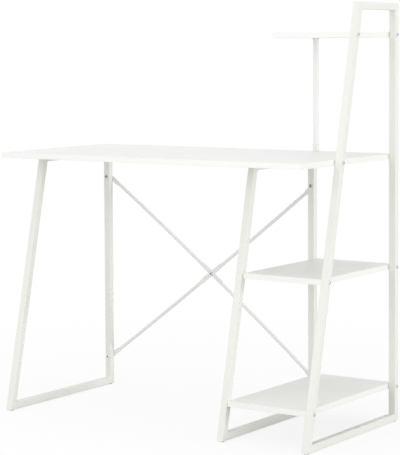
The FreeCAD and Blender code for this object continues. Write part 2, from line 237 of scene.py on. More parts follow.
STREAKS = streaks_group()

# %% [markdown]
# The last is nibs, the few grains of dust that settle in a coat before it is baked. Voronoi
# texture gives the distance to the nearest of many scattered points, and a nib is wherever
# that distance is small. The points fill space, so only a few lie near enough to a surface.

# %% Nibs
def nibs_group():
    """Sparse round specks of a size, with a mean spacing between the scattered points."""
    group, given, result = new_group("fine_nibs", "Mask", Spacing=0.012, Size=0.0006)
    scale = arithmetic(group, "DIVIDE", 1.0, given.outputs["Spacing"])
    scatter = group.nodes.new("ShaderNodeTexVoronoi")
    feed_all(group, scatter, vector=given.outputs["Vector"], scale=scale)
    distance = scatter.outputs["Distance"]
    reach = arithmetic(group, "MULTIPLY", given.outputs["Size"], scale)
    specks = stretch(group, distance, smooth=True, from_max=reach, to_min=1.0, to_max=0.0)
    feed(group, result.inputs["Mask"], specks)
    return group


NIBS = nibs_group()

# %% [markdown]
# ## One recipe for every finish
#
# All the finishes of this desk start the same way. The soft marks choose between two close
# colours and two close roughnesses. What differs is the numbers.

# %% Write the recipe
def group_node(material, group, vector, **values):
    """Places a group in a material, sets its values and gives its only output."""
    node = material.node_tree.nodes.new("ShaderNodeGroup")
    node.node_tree = group
    feed_all(material.node_tree, node, vector=vector, **values)
    return node.outputs[0]


def surface_place(material):
    """Where a surface point is on the desk, in metres."""
    return material.node_tree.nodes.new("ShaderNodeTexCoord").outputs["Object"]


def finish(name, clean, marked, roughness, metallic=0.0):
    """A material that varies between two colours and two roughnesses."""
    material = bpy.data.materials.new(name)
    material.use_nodes = True
    tree = material.node_tree
    shader = tree.nodes["Principled BSDF"]
    marks = group_node(material, MARKS, surface_place(material))
    smoothest, roughest = roughness
    shine = stretch(tree, marks, to_min=smoothest, to_max=roughest)
    feed_all(tree, shader, base_color=blend(tree, marks, clean, marked), roughness=shine)
    shader.inputs["Metallic"].default_value = metallic
    print(name, "goes from", clean, "to", marked)
    return material


# %% [markdown]
# More helpers change a finish that exists. One raises its surface by a pattern, on top of
# what it has already, and grain is the pattern that nearly every finish gets. Another tints
# its colour where a mask is bright. A mask may also be an attribute, a number that is stored
# on the points of a piece.

# %% Raise and tint a finish
def raise_by(material, height, metres):
    """Adds a relief to a finish, and keeps the reliefs that it has."""
    tree = material.node_tree
    normal = tree.nodes["Principled BSDF"].inputs["Normal"]
    bump = tree.nodes.new("ShaderNodeBump")
    feed_all(tree, bump, height=height, distance=metres)
    if normal.links:
        feed(tree, bump.inputs["Normal"], normal.links[0].from_socket)
    feed(tree, normal, bump.outputs["Normal"])


def add_grain(material, pebble, rise):
    """Covers a finish with pebbles of a size, raised by a height, both in metres."""
    raise_by(material, group_node(material, GRAIN, surface_place(material), size=pebble), rise)


def tint_by(material, mask, colour, strength):
    """Blends a finish's colour towards another where a mask is bright."""
    tree = material.node_tree
    base = tree.nodes["Principled BSDF"].inputs["Base Color"]
    amount = arithmetic(tree, "MULTIPLY", mask, strength)
    feed(tree, base, blend(tree, amount, base.links[0].from_socket, colour))


def attribute_of(material, name, output="Fac"):
    """A number, or a vector, that a piece's points carry. It is 0 where they don't."""
    node = material.node_tree.nodes.new("ShaderNodeAttribute")
    node.attribute_name = name
    return node.outputs[output]


print("the shader's sockets that these change: Normal and Base Color")

# %% [markdown]
# ## The finishes
#
# White furniture is never one white. The boards are faced with melamine, a hard printed skin
# with a very fine pearl texture. It is the coolest white on the desk.

# %% Melamine
melamine = finish(
    "white_melamine",
    clean=(0.905, 0.905, 0.881), marked=(0.89, 0.89, 0.866), roughness=(0.36, 0.44),
)
add_grain(melamine, pebble=0.0007, rise=0.000012)
add_grain(melamine, pebble=0.004, rise=0.00001)

# %% [markdown]
# The edge bands are plastic strip, a shade lighter than the boards. Their streaks follow the
# strip, so they read an attribute named along, which each strip gets when it is made.

# %% Edge band
edge_band = finish(
    "white_edge_band",
    clean=(0.955, 0.955, 0.93), marked=(0.94, 0.94, 0.915), roughness=(0.3, 0.4),
)
streaks = group_node(edge_band, STREAKS, attribute_of(edge_band, "along", "Vector"))
raise_by(edge_band, streaks, metres=0.000012)
tint_by(edge_band, streaks, colour=(0.9, 0.9, 0.87), strength=0.25)

# %% [markdown]
# The steel is powder coated, in a warmer white with a trace of green. Melted powder has the
# coarsest grain of all the finishes, a nib here and there, and it draws back from corners. So
# the coat looks a little thinner along each edge of a tube, where an attribute named corner
# says so. The round tubes are bought ready coated, in a neutral white, and have an attribute
# named neutral.

# %% Powder coat
powder_coat = finish(
    "white_powder_coat",
    clean=(0.865, 0.875, 0.822), marked=(0.85, 0.86, 0.806), roughness=(0.4, 0.5),
)
add_grain(powder_coat, pebble=0.0014, rise=0.000015)
nibs = group_node(powder_coat, NIBS, surface_place(powder_coat))
raise_by(powder_coat, nibs, metres=0.00006)
for attribute, colour, strength in (
    ("neutral", (0.89, 0.888, 0.886), 0.8),
    ("corner", (0.79, 0.8, 0.76), 0.35),
):
    tint_by(powder_coat, attribute_of(powder_coat, attribute), colour, strength)

# %% [markdown]
# Screws, nuts and inserts are zinc plated: metal, so its colour is in its reflections, with
# dull patches where the plating is cloudy. The two screws at the braces' upper ends are
# darkened with painted shade, for the shade under the desktop, and every socket is painted
# nearly black, for the shade in its recess. Two attributes say where.

# %% Zinc
zinc = finish(
    "zinc_plate",
    clean=(0.72, 0.73, 0.74), marked=(0.6, 0.61, 0.62), roughness=(0.34, 0.48), metallic=1.0,
)
add_grain(zinc, pebble=0.0003, rise=0.000006)
# Painted shade: the braces' upper screws darkened for the desktop's shade, the sockets nearly
# black for the shade in their recesses.
for attribute, colour in (("painted_desk_shade", (0.43, 0.43, 0.42)), ("painted_socket_shade", (0.03, 0.03, 0.03))):
    tint_by(zinc, attribute_of(zinc, attribute), colour, strength=0.9)

# %% [markdown]
# The collars are white plastic. The glides are nearly black, and dust from the floor has
# greyed them.

# %% Plastics
white_plastic = finish(
    "white_plastic",
    clean=(0.86, 0.86, 0.83), marked=(0.84, 0.84, 0.81), roughness=(0.38, 0.46),
)
add_grain(white_plastic, pebble=0.0006, rise=0.00001)
dark_plastic = finish(
    "dark_plastic",
    clean=(0.03, 0.031, 0.033), marked=(0.045, 0.046, 0.048), roughness=(0.5, 0.62),
)
add_grain(dark_plastic, pebble=0.0006, rise=0.00003)
dust = group_node(dark_plastic, MARKS, surface_place(dark_plastic), size=0.003, low=0.45)
tint_by(dark_plastic, dust, colour=(0.2, 0.2, 0.19), strength=0.5)

# %% [markdown]
# Every CAD node has a slot that names its finish. Here each gets it. The nodes that pieces of
# this script replace are hidden later, but their pieces take the same finish.

# %% Give every node its finish
FINISHES = {
    "white_board": melamine,
    "edge_band": edge_band,
    "frame_paint": powder_coat,
    "zinc_steel": zinc,
    "white_collar": white_plastic,
    "glide_grey": dark_plastic,
}
for part in frame["record"]["subparts"]:
    for place in desk_nodes[part["node"]].material_slots:
        place.material = FINISHES[part["material_slot"]]

# %% [markdown]
# ## Turning a bmesh into a piece of the desk
#
# A bmesh is a mesh on the workbench. When it is done it goes into an object that sits at the
# origin, with its place in its own points, so that every pattern keeps its size. Faces that
# meet at a shallow angle are shaded as one curve, and sharper edges stay crisp.

# %% Write the finishing helper
SHARP_ANGLE = math.radians(32)
FLAT_FACE_WEIGHT = 100  # the most that Weighted Normal gives to a large face


def add_piece(bm, name, slot, *replaced):
    """Makes a finished bmesh an object that rides on the desk and stands for CAD nodes."""
    bmesh.ops.recalc_face_normals(bm, faces=bm.faces)
    mesh = bpy.data.meshes.new(name)
    bm.to_mesh(mesh)
    bm.free()
    mesh.shade_smooth()
    mesh.set_sharp_from_angle(angle=SHARP_ANGLE)
    mesh.materials.append(FINISHES[slot])
    piece = bpy.data.objects.new(name, mesh)
    bpy.context.scene.collection.objects.link(piece)
    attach(piece, "root")
    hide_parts(*replaced)
    print(name, "has", len(mesh.polygons), "faces")
    return piece


def keep_flats_flat(piece):
    """Lets large flat faces decide the shading where they run into a small rounding."""
    weighted = piece.modifiers.new("flat_faces_first", "WEIGHTED_NORMAL")
    weighted.keep_sharp = True
    weighted.weight = FLAT_FACE_WEIGHT


def mark(piece, attribute, above=-math.inf):
    """Sets an attribute that a finish reads to 1 on the points of a piece above a height."""
    layer = piece.data.attributes.new(attribute, "FLOAT", "POINT")
    layer.data.foreach_set("value", [float(vert.co.z > above) for vert in piece.data.vertices])


print("edges sharper than", round(math.degrees(SHARP_ANGLE)), "degrees stay crisp")

# %% [markdown]
# ## The welded frames
#
# Each frame is four square tubes, mitred and welded at the corners. The tubes could be four
# separate bars, but powder coat runs over the welds and makes the frame one skin, so it is
# drawn as one loop. A rounded square is the tube's outline. It is extruded from corner to
# corner, turned into the slanted plane of each mitre, and bridged to its own beginning. The
# slanted planes come first. Each halves the angle between the two tubes that meet there.

# %% Find the mitres
SIDES = ("left", "middle", "ladder")


def outer_corners(side):
    """The frame's outer corners in order, read from its foot rail and top rail."""
    foot_low, foot_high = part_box(side + "_foot_rail")
    top_low, top_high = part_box(side + "_top_rail")
    x = (foot_low.x + foot_high.x) / 2
    return [
        Vector((x, foot_low.y, foot_low.z)),
        Vector((x, foot_high.y, foot_low.z)),
        Vector((x, top_high.y, top_high.z)),
        Vector((x, top_low.y, top_high.z)),
    ]


def mitre_planes(corners, tube_size):
    """For each corner, the matrix of the plane in which two tubes meet, and both directions."""
    across = Vector((1, 0, 0))
    planes = []
    for index, corner in enumerate(corners):
        arriving = (corner - corners[index - 1]).normalized()
        leaving = (corners[(index + 1) % len(corners)] - corner).normalized()
        before = across.cross(arriving)
        after = across.cross(leaving)
        diagonal = (before + after) / (1 + before.dot(after))
        plane = Matrix((diagonal, across, leaving)).transposed().to_4x4()
        plane.translation = corner + diagonal * tube_size / 2
        planes.append((plane, arriving, leaving))
    return planes


for side in SIDES:
    corners = [tuple(round(value, 3) for value in corner) for corner in outer_corners(side)]
    print(side, "frame's outer corners:", corners)

# %% [markdown]
# The tube's outline is a square whose corners are beveled round, because the strip was rolled
# round them. The points of each rounding carry the attribute that the powder coat reads: 1 in
# the middle of the rounding and 0 where it runs into a flat side.

# %% Draw the tube's outline
TUBE_ROUND = 0.002  # radius of the tube's long edges
TUBE_ROUND_STEPS = 4


def corner_share(place, tube_size):
    """How far a point of the outline is into a rounding, from 0 to 1."""
    shoulder = tube_size / 2 - TUBE_ROUND
    angle = math.atan2(abs(place.y) - shoulder, abs(place.x) - shoulder)
    return max(0.0, math.sin(2 * angle))


def tube_outline(bm, tube_size):
    """A rounded square of edges, flat on XY, around the origin."""
    corner = bm.verts.layers.float.new("corner")
    square = bmesh.ops.create_grid(bm, x_segments=1, y_segments=1, size=tube_size / 2)
    bmesh.ops.bevel(
        bm, geom=square["verts"], offset=TUBE_ROUND, offset_type="OFFSET", affect="VERTICES",
        segments=TUBE_ROUND_STEPS, profile=0.5, material=-1,
    )
    bmesh.ops.delete(bm, geom=list(bm.faces), context="FACES_ONLY")
    for vert in bm.verts:
        vert[corner] = corner_share(vert.co, tube_size)
    return list(bm.edges)


trial = bmesh.new()
print("the outline of a 20 mm tube has", len(tube_outline(trial, 0.02)), "edges")
trial.free()

# %% [markdown]
# Now the loop itself. Each mitre gets three outlines: one just before it, one in it and one
# just after. The one in the mitre is a hair fuller, so it stands up as a low ridge of weld.

# %% Build the frames
WELD_HALF_WIDTH = 0.0022
WELD_SWELL = 1.012  # how much fuller the tube is over the weld


def extruded(bm, edges):
    """Extrudes a ring of edges, and gives the new ring's points and edges."""
    made = bmesh.ops.extrude_edge_only(bm, edges=edges)["geom"]
    verts = [item for item in made if isinstance(item, bmesh.types.BMVert)]
    return verts, [item for item in made if isinstance(item, bmesh.types.BMEdge)]


def build_frame(side):
    """One welded frame, as a single closed loop of tube."""
    foot_low, foot_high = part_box(side + "_foot_rail")
    tube_size = foot_high.x - foot_low.x
    places = []
    for plane, arriving, leaving in mitre_planes(outer_corners(side), tube_size):
        places.append(Matrix.Translation(-arriving * WELD_HALF_WIDTH) @ plane)
        places.append(plane @ Matrix.Scale(WELD_SWELL, 4, (0, 1, 0)))
        places.append(Matrix.Translation(leaving * WELD_HALF_WIDTH) @ plane)
    bm = bmesh.new()
    first = tube_outline(bm, tube_size)
    bmesh.ops.transform(bm, matrix=places[0], verts=bm.verts)
    ring = first
    for before, after in zip(places, places[1:]):
        verts, ring = extruded(bm, ring)
        bmesh.ops.transform(bm, matrix=after @ before.inverted(), verts=verts)
    bmesh.ops.bridge_loops(bm, edges=ring + first)
    tubes = [f"{side}_{tube}" for tube in ("foot_rail", "rear_leg", "top_rail", "front_leg")]
    keep_flats_flat(add_piece(bm, side + "_frame", "frame_paint", *tubes))


for side in SIDES:
    build_frame(side)

# %% [markdown]
# ## The edge bands
#
# The sides of each board are closed with a thin plastic strip, glued on and trimmed flush. The
# trimmer also rounds the strip's outer corners, and that small rounding is the line of light
# along a board's edge. A strip starts as a cube, is scaled to its place, and the four edges of
# its outer face are beveled. Where two strips meet at a corner of the board, that leaves a
# fine groove, as real strips do. The attribute named along is the strip's own length.

# %% Round a strip
BAND_ROUND = 0.0005
BAND_ROUND_STEPS = 4


def add_strip(bm, low, high, outward):
    """One strip between two corners, with its outer face rounded off."""
    along = bm.verts.layers.float_vector["along"]
    others = set(bm.verts)
    made = bmesh.ops.create_cube(bm, size=1)["verts"]
    bmesh.ops.scale(bm, vec=high - low, verts=made)
    bmesh.ops.translate(bm, vec=(low + high) / 2, verts=made)
    faces = {face for vert in made for face in vert.link_faces}
    outer = max(faces, key=lambda face: face.calc_center_median().dot(outward))
    bmesh.ops.bevel(
        bm, geom=list(outer.edges), offset=BAND_ROUND, offset_type="OFFSET", affect="EDGES",
        segments=BAND_ROUND_STEPS, profile=0.5, material=-1,
    )
    for vert in set(bm.verts) - others:
        vert[along] = vert.co if outward.y else vert.co.yxz


def outward_of(low, high, board_middle):
    """The way that a strip faces: away from the board, across its own thickness."""
    away = (low + high) / 2 - board_middle
    if high.x - low.x < high.y - low.y:
        return Vector((math.copysign(1, away.x), 0, 0))
    return Vector((0, math.copysign(1, away.y), 0))


print("a strip is rounded by", BAND_ROUND * 1000, "mm")

# %% [markdown]
# Each board has a node with its four strips. The solids in it are found as islands: once
# doubled points are merged, every solid is a group of points that are linked by edges, and
# the group's box is the strip.

# %% Find the solids of a node
SAME_POINT = 1e-6  # points within this many metres of each other are one


def box_of(points):
    """Lowest and highest corner of some points."""
    low = Vector([min(point[axis] for point in points) for axis in range(3)])
    high = Vector([max(point[axis] for point in points) for axis in range(3)])
    return low, high


def islands(node):
    """The separate solids of a CAD node, each as the list of its points."""
    bm = bmesh.new()
    bm.from_mesh(desk_nodes[node].data)
    bmesh.ops.remove_doubles(bm, verts=bm.verts, dist=SAME_POINT)
    waiting = set(bm.verts)
    found = []
    while waiting:
        reached = [waiting.pop()]
        for vert in reached:
            linked = {edge.other_vert(vert) for edge in vert.link_edges} & waiting
            waiting -= linked
            reached += linked
        found.append([vert.co.copy() for vert in reached])
    bm.free()
    return sorted(found, key=lambda points: tuple(box_of(points)[0]))


print("the desktop has", len(islands("desktop_edge_bands")), "edge bands")

# %% [markdown]
# With both helpers the bands are a short loop.

# %% Make the edge bands
for board in ("desktop", "top_shelf", "middle_shelf", "bottom_shelf"):
    board_low, board_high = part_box(board)
    strips = bmesh.new()
    strips.verts.layers.float_vector.new("along")
    for solid in islands(board + "_edge_bands"):
        low, high = box_of(solid)
        add_strip(strips, low, high, outward_of(low, high, (board_low + board_high) / 2))
    banding = add_piece(strips, board + "_banding", "edge_band", board + "_edge_bands")
    keep_flats_flat(banding)

# %% [markdown]
# ## Turned pieces
#
# Screws, nuts, collars, glides and the post are all round about an axis. Their outlines come
# first. An outline gives a radius for every angle, so it may be a hexagon as well.

# %% Draw outlines
def circle(radius):
    """Outline of constant radius."""
    return lambda angle: radius


def hexagon(across_flats):
    """Outline of a hexagon with a corner at angle zero."""
    sixth = math.radians(60)
    return lambda angle: across_flats / 2 / math.cos(angle % sixth - sixth / 2)


def trimmed(outline, limit):
    """The outline, but nowhere wider than a circle, as a chamfer leaves it."""
    return lambda angle: min(outline(angle), limit)


def quarter_turn(steps):
    """Angles from 0 to 90 degrees, for an edge that is rounded in steps."""
    return [math.radians(90) * step / steps for step in range(steps + 1)]


def both_ends(rings, height):
    """The rings of a lower end, and the same upside down for the upper end."""
    return rings + [(outline, height - low) for outline, low in reversed(rings)]


print("a nut of 10 mm across its flats is", round(hexagon(10)(0) * 2, 2), "mm across its corners")

# %% [markdown]
# The lathe starts with a circle, extrudes it again and again, and sets each new ring to its
# own outline and height. So one helper turns a post, cuts a socket into a screw's head and
# shapes a nut. A ring may also carry painted shade, as in a screw's socket, and the zinc
# finish reads how much.

# %% Write the lathe
RING_STEPS = 48  # divides by six, so that hexagons get their corners


def shape_ring(bm, verts, outline, height, painted_socket_shade=0.0):
    """Moves the points of a ring to an outline at a height, and says how much painted shade they
    get.
    """
    layer = bm.verts.layers.float["painted_socket_shade"]
    for vert in verts:
        angle = math.atan2(vert.co.y, vert.co.x)
        radius = outline(angle)
        vert.co = Vector((radius * math.cos(angle), radius * math.sin(angle), height))
        vert[layer] = painted_socket_shade


def lathe(rings, hollow=False):
    """A solid through rings of (outline, height, painted shade). A hollow one closes last to
    first.
    """
    bm = bmesh.new()
    bm.verts.layers.float.new("painted_socket_shade")
    start = bmesh.ops.create_circle(bm, segments=RING_STEPS, radius=1, cap_ends=not hollow)
    first = list(bm.edges)
    shape_ring(bm, start["verts"], *rings[0])
    ring = first
    for shape in rings[1:]:
        verts, ring = extruded(bm, ring)
        shape_ring(bm, verts, *shape)
    if hollow:
        bmesh.ops.bridge_loops(bm, edges=ring + first)
    else:
        bmesh.ops.contextual_create(bm, geom=ring)
    return bm


print("a ring on the lathe has", RING_STEPS, "points")

# %% [markdown]
# ## Finding each screw
#
# The CAD keeps equal screws together in one node, and each is an island of it. The island's
# box gives a screw's middle and length, and its wide end is the head.

# %% Find which way a screw stands
AT_AN_END = 1e-5  # a point within this many metres of a solid's end is on it
HEAD_OVER_SHANK = 1.1  # a head is wider than the shank by more than this factor


def width_at(points, end, axis):
    """How far the points on a solid's end reach from the solid's axis."""
    low, high = box_of(points)
    middle = (low + high) / 2
    reaches = [0.0]
    for point in points:
        if abs((point - end).dot(axis)) < AT_AN_END:
            across = (point - middle) - axis * (point - middle).dot(axis)
            reaches.append(across.length)
    return max(reaches)


def standing(points, shank_radius):
    """Where a headed solid starts, with its axis and length. It starts at its head."""
    low, high = box_of(points)
    for axis in (Vector((1, 0, 0)), Vector((0, 1, 0)), Vector((0, 0, 1))):
        widths = [width_at(points, end, axis) for end in (low, high)]
        if min(widths) < shank_radius * HEAD_OVER_SHANK < max(widths):
            length = abs((high - low).dot(axis))
            axis = axis if widths[0] > widths[1] else -axis
            return (low + high) / 2 - axis * length / 2, axis, length
    raise ValueError("no head was found")


print("the braces' ends have", len(islands("brace_end_bolts")), "screws")

# %% [markdown]
# The last helper moves a turned shape to its place. A shape is always drawn standing on the
# origin, so its place is a point and the way that its Z axis should look.

# %% Put a shape in its place
def put(bm, shape, start, axis):
    """Adds a shape that was drawn up the Z axis to a bmesh, standing on start along axis."""
    turn = Vector((0, 0, 1)).rotation_difference(axis).to_matrix().to_4x4()
    bmesh.ops.transform(shape, matrix=Matrix.Translation(start) @ turn, verts=shape.verts)
    mesh = bpy.data.meshes.new("shape")
    shape.to_mesh(mesh)
    shape.free()
    bm.from_mesh(mesh)
    bpy.data.meshes.remove(mesh)


print("a screw that looks along X is turned about", Vector((0, 0, 1)).cross((1, 0, 0)))

# %% [markdown]
# ## The screws
#
# The desk is held by button-headed screws with a hexagon socket. The head is a low dome over
# a narrow upright rim. Its socket has a small chamfer and a drilled cone at its bottom, and
# the thread ends in a cone too.

# %% Size the screws
HEAD_RADIUS = 0.00525
HEAD_HEIGHT = 0.003
SHANK_RADIUS = 0.003
SOCKET_FLATS = 0.004
SOCKET_DEPTH = 0.002
SOCKET_MOUTH = 0.0024  # radius of the chamfer around the socket
MOUTH_DEPTH = 0.0003
DRILL_TIP = 0.0004  # radius of the small flat that the drill leaves
DRILL_DEPTH = 0.0005  # how far the drilled cone goes below the socket
DOME_TOP = 0.0029  # radius of the flat around the socket
DOME_HEIGHT = 0.0021
DOME_STEPS = 8
RIM_CHAMFER = 0.0002
THREAD_PITCH = 0.001
THREAD_DEPTH = 0.00035
THREAD_LENGTH = 0.012
TIP_LENGTH = 0.0005
print("a head is", HEAD_RADIUS * 2000, "mm across and a shank", SHANK_RADIUS * 2000, "mm")

# %% [markdown]
# The rings start at the bottom of the socket, come out over the dome and go up the shank. The
# thread is drawn as even ridges. A real one climbs, but at one millimetre of pitch nobody can
# tell.

# %% Draw a screw
# Painted shade in a screw's socket: full at its bottom, and less near its mouth.
SOCKET_SHADE_DEEP = 1.0
SOCKET_SHADE_MOUTH = 0.6  # how much painted shade the socket gets near its mouth, where less shade falls


def socket_screw(length):
    """A screw that stands on the top of its head, with its thread upwards."""
    rings = [
        (circle(DRILL_TIP), SOCKET_DEPTH + DRILL_DEPTH, SOCKET_SHADE_DEEP),
        (hexagon(SOCKET_FLATS), SOCKET_DEPTH, SOCKET_SHADE_DEEP),
        (hexagon(SOCKET_FLATS), MOUTH_DEPTH, SOCKET_SHADE_MOUTH),
        (circle(SOCKET_MOUTH), 0),
    ]
    for angle in quarter_turn(DOME_STEPS):
        reach = DOME_TOP + (HEAD_RADIUS - DOME_TOP) * math.sin(angle)
        rings.append((circle(reach), DOME_HEIGHT * (1 - math.cos(angle))))
    rings += [
        (circle(HEAD_RADIUS), HEAD_HEIGHT - RIM_CHAMFER),
        (circle(HEAD_RADIUS - RIM_CHAMFER), HEAD_HEIGHT),
        (circle(SHANK_RADIUS), HEAD_HEIGHT),
    ]
    threaded = min(THREAD_LENGTH, length - HEAD_HEIGHT - THREAD_PITCH)
    ridges = int(threaded / THREAD_PITCH)
    start = length - TIP_LENGTH - ridges * THREAD_PITCH
    for ridge in range(ridges):
        foot = start + ridge * THREAD_PITCH
        rings.append((circle(SHANK_RADIUS), foot))
        rings.append((circle(SHANK_RADIUS - THREAD_DEPTH), foot + THREAD_PITCH / 2))
    rings.append((circle(SHANK_RADIUS), length - TIP_LENGTH))
    rings.append((circle(SHANK_RADIUS - TIP_LENGTH), length))
    return lathe(rings)


trial = socket_screw(0.03)
print("a screw of 30 mm has", len(trial.faces), "faces")
trial.free()

# %% [markdown]
# The braces' upper screws, under the desktop, are the ones that the zinc finish darkens with
# painted shade.

# %% Make the screws
SCREWED_NODES = (
    "desktop_bolts", "desktop_rail_bolts", "top_shelf_bolts", "middle_shelf_bolts",
    "bottom_shelf_bolts", "brace_end_bolts", "brace_crossing_bolt", "post_bolt",
)
# Brace screws above this height get painted shade, for the shade under the desktop.
PAINTED_SHADE_ABOVE = 0.5  # metres from the floor

for node in SCREWED_NODES:
    screws = bmesh.new()
    for solid in islands(node):
        head, axis, length = standing(solid, SHANK_RADIUS)
        put(screws, socket_screw(length), head, axis)
    piece = add_piece(screws, node.replace("bolt", "screw"), "zinc_steel", node)
    # Painted shade on the upper brace screws, for the desktop's shade.
    if node == "brace_end_bolts":
        mark(piece, "painted_desk_shade", above=PAINTED_SHADE_ABOVE)

# %% [markdown]
# ## The nuts
#
# A nut is a hexagon whose corners are turned away at both faces. On the lathe that is one
# outline that is the smaller of a hexagon and a circle. The bore has a small chamfer too.

# %% Make the nuts
NUT_FLATS = 0.010
NUT_CORNER_TRIM = 0.00535  # radius that the chamfer leaves of the nut's corners
NUT_CHAMFER = 0.0004
NUT_BORE = 0.00302  # radius, a hair more than the screw's


def hexagon_nut(height):
    """A nut with both faces chamfered, standing on z = 0."""
    full = hexagon(NUT_FLATS)
    rings = [
        (circle(NUT_BORE), NUT_CHAMFER),
        (circle(NUT_BORE + NUT_CHAMFER), 0),
        (trimmed(full, NUT_CORNER_TRIM - NUT_CHAMFER), 0),
        (trimmed(full, NUT_CORNER_TRIM), NUT_CHAMFER / 2),
        (full, NUT_CHAMFER * 1.5),
    ]
    return lathe(both_ends(rings, height), hollow=True)


for node in ("brace_end_nuts", "brace_crossing_nut"):
    nuts = bmesh.new()
    for solid in islands(node):
        low, high = box_of(solid)
        start = Vector(((low.x + high.x) / 2, low.y, (low.z + high.z) / 2))
        put(nuts, hexagon_nut(high.y - low.y), start, Vector((0, 1, 0)))
    add_piece(nuts, node.replace("brace", "hexagon"), "zinc_steel", node)

# %% [markdown]
# ## The cross braces
#
# The braces begin as plain round tube. A press flattens both ends and the middle, where the
# two cross, and a bolt goes through each flat. A flattened tube is wider than a round one,
# because its skin is as long as before. Here a ring of points carries its own angle with it
# and is extruded along the tube. At each stop the ring is set to a section between a circle
# and a flat with rounded sides. A smooth step between the two is what the press leaves.
# Between its ends and the crossing each brace also bends back a little, under the pull of
# its bolts.

# %% Give a pressed tube its sections
BRACE_RADIUS = 0.005
FLAT_WIDTH = 0.014
FLAT_THICKNESS = 0.0024
TAB_LENGTH = 0.028  # from the bolt to where the tube starts to open
PRESS_LENGTH = 0.018  # from flat to round
CROSSING_HALF = 0.034  # from the crossing bolt to the end of its flat
PRESS_STEPS = 8
TAB_END_STEPS = 6
BOW_STEPS = 10
BRACE_SIDES = 32


def between(start, end, share):
    """The value a share of the way from start to end."""
    return start + (end - start) * share


def tab_end(tab_y):
    """Sections of the rounded end of a tab, whose middle is the bolt."""
    sections = []
    for angle in quarter_turn(TAB_END_STEPS)[1:]:
        station = -FLAT_WIDTH / 2 * math.cos(angle)
        sections.append((station, tab_y, FLAT_WIDTH * math.sin(angle), 1))
    return sections


def press(start, end, flat_y, round_y, opening):
    """Sections of one stretch that goes from flat to round, or from round to flat."""
    sections = []
    for step in range(PRESS_STEPS + 1):
        share = step / PRESS_STEPS
        smooth = share * share * (3 - 2 * share)
        flatness = 1 - smooth if opening else smooth
        station = between(start, end, share)
        middle_y = between(round_y, flat_y, flatness)
        width = between(2 * BRACE_RADIUS, FLAT_WIDTH, flatness)
        sections.append((station, middle_y, width, flatness))
    return sections


print("pressing takes", BRACE_RADIUS * 2000, "mm of round tube to", FLAT_THICKNESS * 1000, "mm")

# %% [markdown]
# One half of a brace is a tab, a stretch that opens, the bend, and a stretch that closes
# towards the crossing. The other half is the same sections in reverse.

# %% Put the sections of a brace in order
def bend(start, end, bow):
    """Round sections between two pressed stretches, on a curve that levels out at its end."""
    sections = []
    for step in range(1, BOW_STEPS):
        share = step / BOW_STEPS
        back = bow * (1 - (1 - share) ** 2)
        sections.append((between(start, end, share), back, 2 * BRACE_RADIUS, 0))
    return sections


def brace_sections(length, crossing_y, bow):
    """All sections of a brace that lies along X, with its left bolt at the origin."""
    tab_y = FLAT_THICKNESS / 2 - BRACE_RADIUS
    opened = TAB_LENGTH + PRESS_LENGTH
    crossing = length / 2 - CROSSING_HALF
    closing = crossing - PRESS_LENGTH
    half = tab_end(tab_y)
    half += press(TAB_LENGTH, opened, tab_y, 0, opening=True)
    half += bend(opened, closing, bow)
    half += press(closing, crossing, bow + crossing_y, bow, opening=False)
    return half + [(length - station, *rest) for station, *rest in reversed(half)]


print("a brace of 900 mm has", len(brace_sections(0.9, 0.0, 0.0)), "sections")

# %% [markdown]
# A section between round and flat is a superellipse. Its power is 2 for a circle, and higher
# for the pressed flat, whose sides then stay rounded as folded steel does.

# %% Extrude a brace
ROUND_POWER = 2
FLAT_POWER = 5


def set_section(verts, around, station, middle_y, width, flatness):
    """Moves a ring of points to one section of the brace."""
    thickness = between(2 * BRACE_RADIUS, FLAT_THICKNESS, flatness)
    power = 2 / between(ROUND_POWER, FLAT_POWER, flatness)
    for vert in verts:
        y, z = math.cos(vert[around]), math.sin(vert[around])
        y = math.copysign(abs(y) ** power, y) * thickness / 2
        z = math.copysign(abs(z) ** power, z) * width / 2
        vert.co = Vector((station, middle_y + y, z))


def build_brace(name, left, right, crossing_y, bow):
    """One brace from the bolt at left to the bolt at right."""
    sections = brace_sections((right - left).length, crossing_y, bow)
    bm = bmesh.new()
    around = bm.verts.layers.float.new("around")
    ring = bmesh.ops.create_circle(bm, segments=BRACE_SIDES, radius=1, cap_ends=True)["verts"]
    for vert in ring:
        vert[around] = math.atan2(vert.co.y, vert.co.x)
    edges = list(bm.edges)
    set_section(ring, around, *sections[0])
    for section in sections[1:]:
        verts, edges = extruded(bm, edges)
        set_section(verts, around, *section)
    bmesh.ops.contextual_create(bm, geom=edges)
    tilt = math.atan2(right.z - left.z, right.x - left.x)
    place = Matrix.Translation(left) @ Matrix.Rotation(-tilt, 4, "Y")
    bmesh.ops.transform(bm, matrix=place, verts=bm.verts)
    piece = add_piece(bm, name.replace("brace", "pressed_brace"), "frame_paint", name)
    keep_flats_flat(piece)
    mark(piece, "neutral")


print("a brace has", BRACE_SIDES, "sides all along")

# %% [markdown]
# Where the braces go is read from the nuts behind the legs. A tube's middle line runs one
# radius behind the legs, and the nut at the crossing tells how far back the braces bend.

# %% Build the braces
brace_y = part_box("left_rear_leg")[1].y + BRACE_RADIUS
bolt_places = []
for solid in islands("brace_end_nuts"):
    low, high = box_of(solid)
    bolt_places.append(Vector(((low.x + high.x) / 2, brace_y, (low.z + high.z) / 2)))
bolt_places.sort(key=lambda place: (round(place.x, 3), place.z))
left_low, left_high, right_low, right_high = bolt_places
crossing_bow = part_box("brace_crossing_nut")[0].y - FLAT_THICKNESS - left_low.y
print("the braces bend back", round(crossing_bow * 1000, 1), "mm")
build_brace("brace_rising", left_low, right_high, -FLAT_THICKNESS / 2, crossing_bow)
build_brace("brace_falling", left_high, right_low, FLAT_THICKNESS / 2, crossing_bow)

